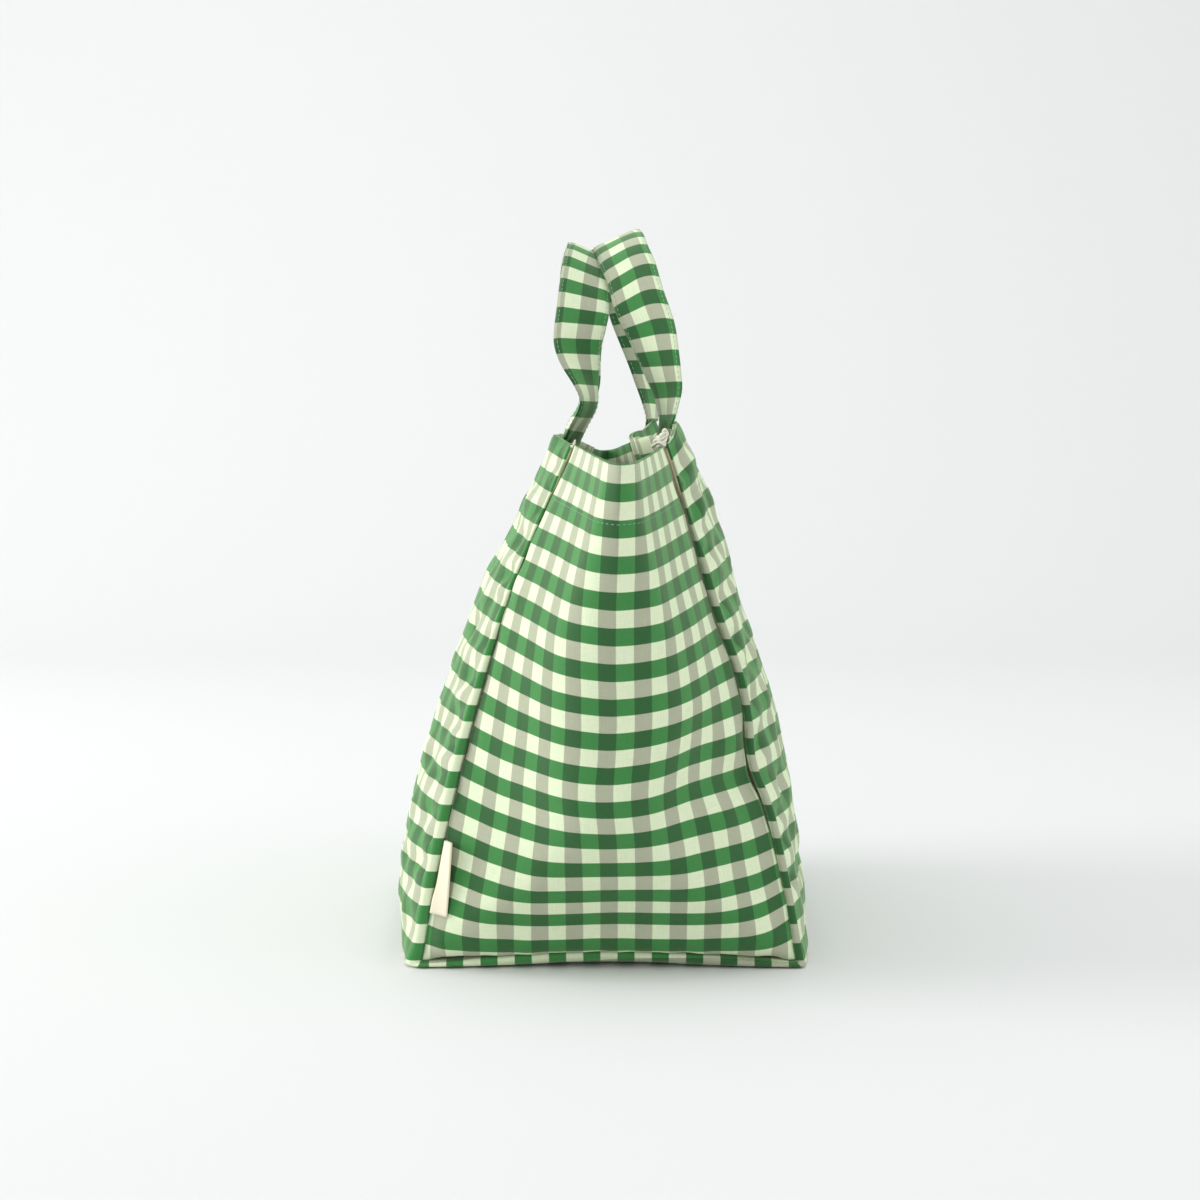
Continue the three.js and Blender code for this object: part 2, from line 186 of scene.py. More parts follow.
def check_cloth(name, warp_shift, weft_shift):
    group = bpy.data.node_groups.get("woven check") or woven_check()
    material = bpy.data.materials.new(name)
    material.use_nodes = True
    nodes, links = material.node_tree.nodes, material.node_tree.links
    shader = nodes["Principled BSDF"]
    cut = nodes.new("ShaderNodeUVMap")
    cut.uv_map = "cut"
    weave = nodes.new("ShaderNodeGroup")
    weave.node_tree = group
    links.new(cut.outputs[0], weave.inputs["Cut"])
    weave.inputs["Warp Shift"].default_value = warp_shift / 1000
    weave.inputs["Weft Shift"].default_value = weft_shift / 1000
    bump = nodes.new("ShaderNodeBump")
    bump.inputs["Strength"].default_value = 0.35
    bump.inputs["Distance"].default_value = 0.0003
    links.new(weave.outputs["Height"], bump.inputs["Height"])
    links.new(weave.outputs["Color"], shader.inputs["Base Color"])
    links.new(weave.outputs["Roughness"], shader.inputs["Roughness"])
    links.new(bump.outputs[0], shader.inputs["Normal"])
    shader.inputs["Specular IOR Level"].default_value = 0.2
    shader.inputs["Sheen Weight"].default_value = 0.5
    shader.inputs["Sheen Roughness"].default_value = 0.45
    shader.inputs["Sheen Tint"].default_value = (0.75, 1.0, 0.62, 1)
    return material


# Body strip: one long cloth, 328 mm wide, that runs down the front, under the bag and up the back.
# Its edges roll over the end seams: softly at the front and base, in a pinched welt at the back.
# Sizes of the cloth are in millimetres.
panel_length = 286.0
base_half_depth = 105.5
base_half_width = 150.0
rim_half_width = 140.0
seam_inset = 5.5
seam_foot = 5.9
seam_half_depth = 99.1
welt_start = 148.0
strip_length = 2 * (panel_length + base_half_depth)
cloth_thick = 0.9


def smooth(t):
    t = np.clip(t, 0, 1)
    return t * t * (3 - 2 * t)


def surface_normals(points):
    along, across = np.gradient(points, axis=0), np.gradient(points, axis=1)
    normals = np.cross(along, across)
    return normals / np.maximum(np.linalg.norm(normals, axis=2, keepdims=True), 1e-9)


def cloth_piece(name, points, cut, thick, material, flip=False):
    """A closed cloth of that thickness about a grid of points in millimetres; cut is its flat pattern."""
    rows, columns = points.shape[:2]
    normals = surface_normals(points) * (-1 if flip else 1)
    both = np.concatenate([points + normals * thick / 2, points - normals * thick / 2])
    vertices = both.reshape(-1, 3) * 0.001
    count = rows * columns
    at = np.arange(count).reshape(rows, columns)
    a, b, c, d = at[:-1, :-1], at[1:, :-1], at[1:, 1:], at[:-1, 1:]
    outer = np.stack([a, b, c, d], axis=-1).reshape(-1, 4)
    inner = outer[:, ::-1] + count
    loop = np.concatenate([at[0, :-1], at[:-1, -1], at[-1, :0:-1], at[:0:-1, 0]])
    following = np.roll(loop, -1)
    edge_faces = np.stack([loop, following, following + count, loop + count], axis=-1)
    faces = np.concatenate([outer, inner, edge_faces])
    if flip:
        faces = faces[:, ::-1]
    mesh = bpy.data.meshes.new(name)
    mesh.from_pydata(vertices.tolist(), [], faces.tolist())
    layer = mesh.uv_layers.new(name="cut")
    flat = np.concatenate([cut.reshape(-1, 2)] * 2) * 0.001
    layer.data.foreach_set("uv", flat[faces.reshape(-1)].reshape(-1).astype(np.float32))
    mesh.polygons.foreach_set("use_smooth", np.ones(len(faces), bool))
    mesh.materials.append(material)
    mesh.update()
    piece = bpy.data.objects.new(name, mesh)
    bpy.context.collection.objects.link(piece)
    return piece


def end_line(length):
    """Where the front or back meets an end face, by cloth length from the floor."""
    foot_lean, rim_lean = 9.6, 21
    start, rate = math.radians(foot_lean), math.radians(rim_lean - foot_lean) / panel_length
    lean = start + rate * length
    x = base_half_width - (base_half_width - rim_half_width) * length / panel_length
    y = base_half_depth - (math.cos(start) - np.cos(lean)) / rate
    z = (np.sin(lean) - math.sin(start)) / rate
    return x, y, z, lean


def sway(points):
    """The standing bag's mouth leans a little to its back, and its foot settles on the floor."""
    settle, lean = 3.1, 5.2
    moved = points.copy()
    height = points[..., 2]
    moved[..., 2] -= settle * smooth(height / seam_foot) * (1 - smooth((height - seam_foot) / 34))
    near = 0.5 + 0.5 * np.clip(points[..., 0] / rim_half_width, -1, 1)
    moved[..., 1] += lean * smooth((height - 185) / 95) * near
    return moved


def strip_row(lengths, side):
    """Rows of the front (side -1) or back (side 1), by cloth length up from the floor."""
    x, y, z, lean = end_line(lengths)
    up = np.clip(lengths / panel_length, 0, 1)
    swell = (1 - (1 - up) ** 12) * (20.5 - 14 * up) * (1 - 0.9 * smooth((up - 0.82) / 0.18))
    drawn_in = smooth((up - 0.74) / 0.26) ** 1.5
    if side < 0:
        # The front is fuller below its middle, with a bulge and then a hollow under the rim.
        swell += 0.5 + 2.5 * (1 - smooth((up - 0.55) / 0.25)) * smooth(up / 0.06)
        swell += 2.5 * np.exp(-((up - 0.71) / 0.07) ** 2) - 2 * np.exp(-((up - 0.915) / 0.035) ** 2)
        bow, shoulder, lift, sag = 14.0, 6.0 * smooth((up - 0.80) / 0.12), 0.0, 1.5
    else:
        # The back is slimmer towards its foot, with a hollow there and a bulge under the rim.
        swell += 3.0 - 5.5 * smooth(up / 0.06) * (1 - smooth((up - 0.2) / 0.3))
        swell += 3 * np.exp(-((up - 0.77) / 0.07) ** 2) - 2.5 * np.exp(-((up - 0.165) / 0.05) ** 2)
        bow = 20.5 - 5.5 * smooth((up - 0.93) / 0.07)
        shoulder, lift, sag = 7.5 * smooth((up - 0.76) / 0.2), 5.0, -3.0
    corner = np.clip(lengths / seam_inset, 0, 1)
    seam_y = np.where(lengths < seam_inset, seam_half_depth, y - seam_inset)
    turn = (1 - corner) * math.pi / 4
    if side < 0:
        pinch, fat = 0 * up, 1 + 0.32 * np.exp(-((lengths - 7) / 6) ** 2)
    else:
        pinch = 0.5 + 0.5 * smooth((lengths - 6) / 24)
        fat = 1 + 0.33 * (1 - smooth(lengths / seam_inset))
    return dict(x=x, y=side * seam_y, wave=seam_wave(z) * (side > 0), z=np.maximum(z, seam_foot),
                out_y=side * np.cos(turn), out_z=-np.sin(turn), lean=lean * corner, swell=swell, fat=fat,
                bow=bow * drawn_in, up=up, shoulder=shoulder, lift=lift * up ** 6, sag=sag * up ** 6,
                side=np.full_like(lengths, side), pinch=pinch)


def seam_wave(z):
    """How far the back seam strays from a fair line, towards the back."""
    return 2.0 * np.exp(-((z - 154) / 22) ** 2) - 3.4 * np.exp(-((z - 108) / 17) ** 2)


def base_row(places):
    """Rows under the bag, by place from front to back."""
    past_seam = (np.abs(places) - seam_half_depth) / (base_half_depth - seam_half_depth)
    turn = np.clip(past_seam, 0, 1) * math.pi / 4
    side = np.sign(places)
    none = np.zeros_like(places)
    to_back = smooth((places - 60) / 40)
    seam_y = np.clip(places, -seam_half_depth, seam_half_depth)
    return dict(x=none + base_half_width, y=seam_y, wave=none, z=none + seam_foot,
                out_y=side * np.sin(turn), out_z=-np.cos(turn), lean=none, swell=none, bow=none, up=none,
                shoulder=none, lift=none, sag=none, side=side, pinch=0.5 * to_back, fat=1 + 0.33 * to_back)


def strip_points(row, columns):
    """Points of those rows at those columns across the cloth; a welt is (column, past the seam, out)."""
    soft = np.array([
        (148, -2.6, 6.0), (149.2, -1.5, 5.9), (150.5, -0.4, 5.5), (151.8, 0.6, 4.9), (153, 1.2, 4.1),
        (154.5, 1.45, 2.9), (156, 1.3, 1.5), (157, 0.9, 0.6), (158, 0.0, 0.0), (159, -1.5, -0.4),
        (164, -6, -0.7)])
    rolled = np.array([
        (148, -2.6, 6.0), (149.2, -1.7, 5.9), (150.5, -0.8, 5.6), (151.8, 0.0, 5.0), (153, 0.65, 4.2),
        (154.5, 1.2, 3.0), (156, 1.5, 1.7), (157, 1.35, 0.7), (158, 0.5, 0.0), (159, -1.3, -0.4),
        (164, -6, -0.7)])
    pinched = np.array([
        (148, -4.8, 2.8), (149.2, -3.8, 2.1), (150.5, -2.7, 1.9), (151.8, -1.7, 2.3), (152.8, -0.9, 3.0),
        (153.7, 0.1, 3.3), (154.6, 1.0, 3.0), (155.5, 1.45, 2.2), (156.4, 1.4, 1.2), (157.2, 0.9, 0.4),
        (158, 0.0, 0.0), (159, -1.5, -0.4), (164, -6, -0.7)])
    size, end = np.abs(columns), np.sign(columns)
    row = {name: values[:, None] for name, values in row.items()}
    level = np.abs(row["out_z"])

    def edge_at(index):
        welts = [np.interp(size, shape[:, 0], shape[:, index])[None, :] for shape in (soft, rolled, pinched)]
        edge = welts[0] + (welts[1] - welts[0]) * level
        return edge + (welts[2] - edge) * row["pinch"]

    out_x, out = edge_at(1), edge_at(2)
    # The roll grows slimmer towards the rim.
    slim = 1 - 0.85 * smooth((row["up"] - 0.3) / 0.6) * (1 - row["pinch"])
    slim = slim - 0.8 * smooth((row["up"] - 0.74) / 0.14) * row["pinch"]
    out = np.where(out > 0, out * slim * row["fat"], out)
    plump = 1 + 1.3 * level
    on_panel = (size <= welt_start)[None, :]
    share = np.where(on_panel, size / welt_start, 1)
    sides = smooth((share - 0.3) / 0.2) * smooth((1 - share) / 0.14)
    far_back = 1 - 0.5 * (row["side"] > 0) * (columns < 0)
    middle = np.exp(-(share / np.where(row["side"] < 0, 0.38, 0.31)) ** 2)
    belly = row["swell"] * (1 - share ** 4) - row["bow"] * middle
    belly = belly + row["shoulder"] * sides * far_back
    crown = 4 * row["up"] ** 2 * (1 - share ** 2) + row["lift"] * sides - row["sag"] * middle
    # Past its middle the back rim stands higher; before it, it is crumpled.
    top = smooth((row["up"] - 0.86) / 0.14) * (row["side"] > 0)
    crown = crown + 3.5 * top * smooth(-columns / 26) * smooth((1 - share) / 0.3)
    crumpled = smooth((columns - 6) / 14) * smooth((84 - columns) / 20)
    belly = belly + 2.2 * top * np.sin(columns / 5.2) * crumpled
    root = row["x"] + np.where(out_x > 0, out_x * plump * np.sqrt(slim), out_x)
    x = np.where(on_panel, (row["x"] - 2.6 - 2.2 * row["pinch"]) * share, root) * end
    normal_y = row["out_y"] * np.cos(row["lean"])
    normal_z = np.where(row["up"] > 0, np.sin(row["lean"]), 0) + np.where(row["out_z"] < 0, row["out_z"], 0)
    y = row["y"] + row["wave"] * share ** 8 + row["out_y"] * out + normal_y * belly
    y = y - row["side"] * np.sin(row["lean"]) * crown
    z = row["z"] + row["out_z"] * np.minimum(out, 5.4) + normal_z * belly + np.cos(row["lean"]) * crown
    # Between the corners the base seam arches off the floor.
    arch = 6.4 * np.clip(1 - (row["y"] / seam_half_depth) ** 2, 0, 1) ** 1.5
    arch = arch * np.clip((share - 0.8) / 0.2, 0, 1) ** 2
    z = z + np.where((row["up"] == 0) & (level > 0.5), arch, 0)
    return np.stack(np.broadcast_arrays(x, y, z), axis=-1)


def ripple(a, b, seed, waves=7):
    """A fixed, irregular swelling of about -1 to 1 over two coordinates."""
    random = np.random.default_rng(seed)
    total = np.zeros(np.broadcast(a, b).shape)
    for _ in range(waves):
        ka, kb, phase = random.normal(0, 1), random.normal(0, 1), random.uniform(0, 6.28)
        total += np.sin(ka * a + kb * b + phase)
    return total / math.sqrt(waves) / 0.9


panel_columns = np.concatenate([
    np.linspace(0, 128, 33), np.linspace(131, 146, 8),
    [147.2, 148, 148.6, 149.2, 150, 150.6, 151.2, 151.7, 152.1, 152.5, 152.9, 153.3, 153.8, 154.4],
    [155.2, 156, 156.7, 157.3, 158, 159, 161, 164]])
strip_columns = np.concatenate([-panel_columns[:0:-1], panel_columns])
rows_up = np.concatenate([np.linspace(0, seam_inset, 5)[:-1], np.linspace(seam_inset, 30, 10)[:-1],
                          np.linspace(30, panel_length, 100)])
rows_base = np.concatenate([np.linspace(-base_half_depth, -seam_half_depth, 5)[1:-1],
                            np.linspace(-seam_half_depth, seam_half_depth, 40),
                            np.linspace(seam_half_depth, base_half_depth, 5)[1:-1]])
strip = np.concatenate([strip_points(strip_row(rows_up[::-1], -1), strip_columns),
                        strip_points(base_row(rows_base), strip_columns),
                        strip_points(strip_row(rows_up, 1), strip_columns)])
strip_lengths = np.concatenate([panel_length - rows_up[::-1], strip_length / 2 + rows_base,
                                strip_length - panel_length + rows_up])
strip_cut = np.stack(np.meshgrid(strip_columns, strip_lengths), axis=-1)
across, along = strip_cut[..., 0].copy(), strip_cut[..., 1]
strip_cut[..., 0] += across / base_half_width * 4.5 * (1 - 2 * smooth((along - 300) / 180))
upright = np.clip(strip[..., 2:] / 40, 0, 1)
near_seam = np.exp(-np.maximum(welt_start - np.abs(across), 0) / 16)
near_seam = near_seam * np.clip((150.5 - np.abs(across)) / 3, 0, 1)
pucker = 1.2 * np.sin(along / 3.1 + 1.3 * np.sin(along / 13)) + 0.5 * np.sin(along / 1.9 + across / 9)
folds = 1.1 * ripple(across / 16, along / 60, 4) * np.clip((150 - np.abs(across)) / 30, 0, 1)
crumple = 0.9 * ripple(across / 6, along / 6.5, 21) * smooth((np.abs(across) - 55) / 55)
folds = folds + crumple * np.clip((150 - np.abs(across)) / 10, 0, 1)
depth = np.minimum(along, strip_length - along)
for root, slope, height in ((-72, -0.42, 1.5), (-72, 0.30, -1.2), (-72, -0.08, 1.2),
                            (72, 0.38, 1.5), (72, -0.26, -1.2), (72, 0.05, 1.1)):
    # Soft creases fan out below each place where a strap is sewn on.
    off_line = (across - root - slope * depth) / (4 + 0.07 * depth)
    folds = folds + height * np.exp(-off_line ** 2 - ((depth - 46) / 42) ** 2)
strip = strip + surface_normals(strip) * (near_seam * pucker + folds)[..., None] * upright
body_cloth = check_cloth("body_cloth", 4.5, 4.5)
body = cloth_piece("body_strip", sway(strip), strip_cut, cloth_thick, body_cloth)
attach(body, "bag")
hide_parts("front_panel", "base_panel", "back_panel")


# Gussets: the two end cloths, 198 mm wide at the base and 176 mm at the rim, sewn in between the edges.
# Each hangs flat in a triangle above the base, then folds out into a blunt nose up to the rim.
gusset_length = panel_length - seam_inset
gusset_rim_half = 88.0
triangle_height = 98.0


def gusset_half(cloth, gap, flat, blunt, spread):
    """Cloth from the crease to a seam that is gap away: how far it goes sideways and back."""
    step = cloth / 120
    s = (np.arange(120) + 0.5) * step
    start = max(0, flat - 14)
    weight = blunt + (1 - blunt) * smooth((s - start) / (flat + spread - start))
    low, high = 0.0, math.pi / 2
    for _ in range(30):
        turn = (low + high) / 2
        low, high = (turn, high) if np.cos(turn * weight).sum() * step > gap else (low, turn)
    side = np.concatenate([[0], np.cumsum(np.cos(low * weight) * step)])
    back = np.concatenate([[0], np.cumsum(np.sin(low * weight) * step)])
    return side, back


def gusset_half_width(heights):
    return seam_half_depth + (gusset_rim_half - seam_half_depth) * heights / gusset_length


def soften(points, passes):
    """Evens out a grid, with its edges kept where they are along their own line."""
    for _ in range(passes):
        points = points.copy()
        points[1:-1] = (points[:-2] + 2 * points[1:-1] + points[2:]) / 4
        points[:, 1:-1] = (points[:, :-2] + 2 * points[:, 1:-1] + points[:, 2:]) / 4
    return points


def gusset_points(heights, places):
    """Points of the right-hand gusset: heights up its cloth, places across it from -1 to 1."""
    # The cloth hangs lower than a fair fold: by place across it, at these heights.
    at_heights = [0, 15, 51, 87, 123, 159, 195, 231, 281]
    hang = {-1.0: [1.0, -0.6, 2.6, 1.6, 1.6, 0.3, -0.2, 0.6, 0.3],
            -0.7: [1.0, 0.8, 7.0, 6.8, 6.0, 4.0, 2.2, 2.4, 2.4],
            -0.4: [1.0, 1.4, 9.2, 8.6, 6.8, 7.2, 5.5, 5.0, 4.5],
            0.0: [1.0, 0.2, 7.6, 7.8, 8.6, 9.6, 8.8, 7.8, 7.3],
            0.5: [1.0, 1.3, 7.7, 6.4, 3.9, 5.4, 5.9, 5.9, 4.9],
            0.85: [1.0, -0.6, 7.8, 6.6, 4.4, 2.4, 3.6, 3.2, 2.4],
            1.0: [1.0, -5.0, 4.5, 5.6, 4.6, 1.1, 2.6, 2.1, 1.3]}
    knots = np.linspace(0, gusset_length, 103)
    grid = np.linspace(0, 1, 121)
    plan = []
    for height in knots:
        x, y, z, _ = end_line(np.array(height + seam_inset))
        half = gusset_half_width(height)
        flat = max(0, triangle_height - height)
        # How blunt the nose is, over what width the cloth turns, and how far the crease is off the middle.
        blunt = np.interp(height, [190, 240, 281], [0.03, 0.2, 0.5])
        spread = np.interp(height, [0, 60, 100, 150, 190, 240, 281], [9, 18, 34, 50, 42, 23, 15])
        fold = np.interp(height, [60, 110, 200, 225, 250, 281], [0, 1.5, 1.7, 1.3, 0.6, 0.25])
        open_top = 1.5 * float(smooth(np.array((height - 238) / 26)))
        seam_drop = np.interp(height, at_heights, hang[1.0])
        left_gap = y - seam_inset - 0.65 * open_top
        right_gap = y - seam_inset - open_top + float(seam_wave(z - seam_drop))
        # The crease moves sideways until both halves reach back equally far.
        low, high = -20.0, 20.0
        for _ in range(24):
            middle = (low + high) / 2
            left = gusset_half(half + fold, left_gap + middle, flat, blunt, spread)
            right = gusset_half(half - fold, right_gap - middle, flat, blunt, spread)
            low, high = (middle, high) if left[1][-1] > right[1][-1] else (low, middle)
        nose = x + left[1][-1]
        run = places * half - fold
        share = np.where(run < 0, -run / (half + fold), run / (half - fold))
        sideways = np.where(run < 0, -np.interp(share, grid, left[0]), np.interp(share, grid, right[0]))
        backward = np.where(run < 0, np.interp(share, grid, left[1]), np.interp(share, grid, right[1]))
        climb = backward / max(left[1][-1], 1e-6)
        plan.append(np.stack([nose - backward, middle + sideways, np.clip(climb, 0, 1)], axis=-1))
    plan = np.array(plan)
    nose = plan[:, len(places) // 2, 0]
    rise = np.sqrt(np.maximum(np.diff(knots) ** 2 - np.diff(nose) ** 2, 4))
    crease = seam_foot + np.concatenate([[0], np.cumsum(rise)])[:, None]
    seam_z = np.maximum(end_line(knots + seam_inset)[2], seam_foot)[:, None]
    z = crease + (seam_z - crease) * plan[..., 2]
    columns = np.array([np.interp(knots, at_heights, drop) for drop in hang.values()])
    tuck = np.array([np.interp(places, list(hang), columns[:, i]) for i in range(len(knots))])
    # Its foot follows the base seam, which arches off the floor between the corners.
    foot_line = seam_foot + 6.2 * np.clip(1 - (plan[..., 1] / seam_half_depth) ** 2, 0, 1) ** 1.5
    above_foot = z - soften(tuck, 12) - foot_line
    bend = 1.5
    z = foot_line + bend * np.logaddexp(0, above_foot / bend)
    rows = np.concatenate([plan[..., :2], z[..., None]], axis=-1)
    place = heights / gusset_length * (len(knots) - 1)
    low_row = np.minimum(place.astype(int), len(knots) - 2)
    part = (place - low_row)[:, None, None]
    return rows[low_row] * (1 - part) + rows[low_row + 1] * part


gusset_cloth = check_cloth("gusset_cloth", 9, -4.9)
gusset_places = np.linspace(-1, 1, 141)
gusset_heights = np.linspace(0.5, gusset_length, 143)
gusset = soften(gusset_points(gusset_heights, gusset_places), 4)
s = gusset_places[None, :] * gusset_half_width(gusset_heights)[:, None]
h = np.broadcast_to(gusset_heights[:, None], s.shape)
gusset_cut = np.stack([s, gusset_length - h], axis=-1)
gusset_cut[..., 0] += np.interp(h, [60, 160, 225, 281], [0, 2.8, 3.2, 4.2])


def lump(size, place, height, wide, tall):
    """A soft swelling, or a hollow if size is below 0, at that place across and height up the gusset."""
    return size * np.exp(-((s - place) / wide) ** 2 - ((h - height) / tall) ** 2)


to_seam = gusset_half_width(h) - np.abs(s)
relief = lump(-2.4, 88, 101, 11, 11) + lump(2.2, 80, 124, 13, 13) + lump(1.8, 66, 84, 13, 12)
relief += lump(-1.5, 72, 106, 16, 7) + lump(1.2, 60, 190, 14, 22) + lump(-0.8, 74, 168, 9, 18)
relief += 0.35 * ripple(s / 17, h / 24, 11) + np.exp(-to_seam / 9) * 0.5 * ripple(s / 4, h / 5.5, 12)
relief += np.exp(-h / 9) * 0.7 * ripple(s / 5, h / 8, 15)
relief -= 1.6 * np.exp(-to_seam / 2.4)
foot = 1.8 * np.exp(-((h - 15) / 8) ** 2) - 4.2 * np.exp(-h / 3.2)
relief = relief * np.clip(h / 6, 0, 1) + foot * np.clip(to_seam / 12, 0.3, 1)
gusset = gusset - surface_normals(gusset) * relief[..., None]


def far_rim(points, heights):
    """The far end's rim stands higher than the near one's, most so at its back, and its seams are closed."""
    y = points[..., 1]
    raised = (2.5 + 3.5 * np.clip(y / 25, -1, 1)) * smooth((heights - 200) / 80)
    closed = 1.5 * np.sign(y) * smooth((np.abs(y) - 8) / 16) * smooth((heights - 238) / 26)
    return np.stack([0 * y, closed, raised], axis=-1)


gusset_faces = {}
for word, end in (("right", 1), ("left", -1)):
    points = gusset * np.array([end, 1, 1])
    points = sway(points + far_rim(points, h) * (end < 0))
    gusset_faces[word] = points
    piece = cloth_piece(f"{word}_gusset_cloth", points, gusset_cut, cloth_thick, gusset_cloth, flip=end > 0)
    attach(piece, "bag")
    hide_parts(f"{word}_gusset")


# Facings: the hem of the mouth, 32 mm of the same cloth turned in over the rim and sewn down inside
# each face, so its check runs back from the rim as in a mirror.
hem_depth, hem_thick, hem_behind = 32.5, 1.0, 1.5
keep = np.abs(strip_columns) < 141
for word, side in (("front", -1), ("back", 1)):
    rows = np.nonzero((strip[:, len(strip_columns) // 2, 1] * side > 0)
                      & (np.minimum(strip_lengths, strip_length - strip_lengths) < hem_depth))[0]
    inside = (strip - surface_normals(strip) * hem_behind)[rows][:, keep]
    cut = strip_cut[rows][:, keep]
    cut[..., 1] = (0 if side < 0 else 2 * strip_length) - cut[..., 1]
    piece = cloth_piece(f"{word}_hem", sway(inside), cut, hem_thick, body_cloth)
    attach(piece, "bag")
    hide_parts(f"{word}_facing")
hem_cloth = check_cloth("gusset_hem_cloth", 9, 7.5)
rows = gusset_heights > gusset_length - hem_depth
keep = slice(3, -3)
for word, end in (("right", 1), ("left", -1)):
    inside = (gusset + surface_normals(gusset) * hem_behind)[rows][:, keep] * np.array([end, 1, 1])
    inside = sway(inside + far_rim(inside, h[rows][:, keep]) * (end < 0))
    cut = gusset_cut[rows][:, keep]
    piece = cloth_piece(f"{word}_gusset_hem", inside, cut, hem_thick, hem_cloth, flip=end > 0)
    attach(piece, "bag")
    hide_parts(f"{word}_gusset_facing")


# Seam bindings: tan cotton tape, 10.5 mm wide, folded over the raw edges inside every end seam and along
# the base. It shows from outside only where the near seams stand open at the top.
def plain_cloth(name, colour, weave_size):
    material = bpy.data.materials.new(name)
    material.use_nodes = True
    nodes, links = material.node_tree.nodes, material.node_tree.links
    shader = nodes["Principled BSDF"]
    cut = nodes.new("ShaderNodeUVMap")
    cut.uv_map = "cut"
    grain = nodes.new("ShaderNodeTexNoise")
    grain.inputs["Scale"].default_value = weave_size
    grain.inputs["Detail"].default_value = 3
    links.new(cut.outputs[0], grain.inputs["Vector"])
    tint = nodes.new("ShaderNodeMix")
    tint.data_type = "RGBA"
    shades = [s for s in tint.inputs if s.type == "RGBA"]
    shades[0].default_value = (*[c * 0.86 for c in colour], 1)
    shades[1].default_value = (*[min(1, c * 1.1) for c in colour], 1)
    links.new(grain.outputs[0], tint.inputs["Factor"])
    links.new([s for s in tint.outputs if s.type == "RGBA"][0], shader.inputs["Base Color"])
    bump = nodes.new("ShaderNodeBump")
    bump.inputs["Strength"].default_value = 0.4
    bump.inputs["Distance"].default_value = 0.0003
    links.new(grain.outputs[0], bump.inputs["Height"])
    links.new(bump.outputs[0], shader.inputs["Normal"])
    shader.inputs["Roughness"].default_value = 0.85
    shader.inputs["Specular IOR Level"].default_value = 0.25
    return material


tape_cloth = plain_cloth("tape_cloth", (0.60, 0.53, 0.37), 1400)
tape_width, tape_thick, tape_behind = 10.5, 1.3, 3.2
tape_across = np.linspace(0, 1, 7)
for word, side in (("front", -1), ("back", 1)):
    for end_word, end in (("right", 1), ("left", -1)):
        lengths = np.linspace(8, 283, 120)
        x, y, z, _ = end_line(lengths)
        open_top = (smooth((lengths - 240) / 26) * (1 if side > 0 else 0.9))[:, None]
        shift = seam_wave(z) if side > 0 else 0
        out = -tape_behind + 4.7 * open_top - tape_width * tape_across[None, :]
        dent = 9 * np.exp(-((z - 98) / 22) ** 2)
        px = (x - 0.6 - dent)[:, None] + 0.75 * out
        py = (y - 6.1 + side * shift)[:, None] + 0.62 * (out + tape_behind) * (1 - 0.85 * open_top)
        py = py - open_top * (0.5 + 2.0 * tape_across[None, :])
        points = np.stack([px * end, py * side, np.broadcast_to(z[:, None], px.shape)], axis=-1)
        cut = np.stack(np.meshgrid(tape_across * tape_width, lengths), axis=-1)
        piece = cloth_piece(f"{word}_{end_word}_tape", sway(points), cut, tape_thick, tape_cloth,
                            flip=side * end > 0)
        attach(piece, "bag")
        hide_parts(f"{word}_{end_word}_seam_binding")
for end_word, end in (("right", 1), ("left", -1)):
    places = np.linspace(-92, 92, 60)
    out = tape_width * tape_across
    px = (147.5 - 0.8 * out)[None, :] + 0 * places[:, None]
    pz = (8.2 + 0.55 * out)[None, :] + 3.2 * (1 - (places[:, None] / seam_half_depth) ** 2)
    points = np.stack([px * end, np.broadcast_to(places[:, None], px.shape), pz], axis=-1)
    cut = np.stack(np.meshgrid(out, places), axis=-1)
    piece = cloth_piece(f"base_{end_word}_tape", sway(points), cut, tape_thick, tape_cloth, flip=end < 0)
    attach(piece, "bag")
    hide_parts(f"base_{end_word}_seam_binding")


# Straps: two lengths of the check cloth, 29.5 mm wide, folded and sewn along both edges. Each is sewn
# inside the mouth, comes up flat on the panel, twists a quarter turn and arches over.
strap_width, strap_thick, strap_sewn, strap_root = 29.5, 2.2, 34.0, 285.5


def panel_inside(side, place, depths):
    """Points 3 mm inside the front or back panel, at that place along the rim and depths below it."""
    from_rim = strip_lengths if side < 0 else strip_length - strip_lengths
    rows = np.nonzero(from_rim < 60)[0]
    rows = rows[np.argsort(from_rim[rows])]
    column = np.argmin(np.abs(strip_columns - place))
    inside = sway(strip - surface_normals(strip) * 3.0)[rows, column]
    return np.stack([np.interp(depths, from_rim[rows], inside[:, k]) for k in range(3)], axis=-1)


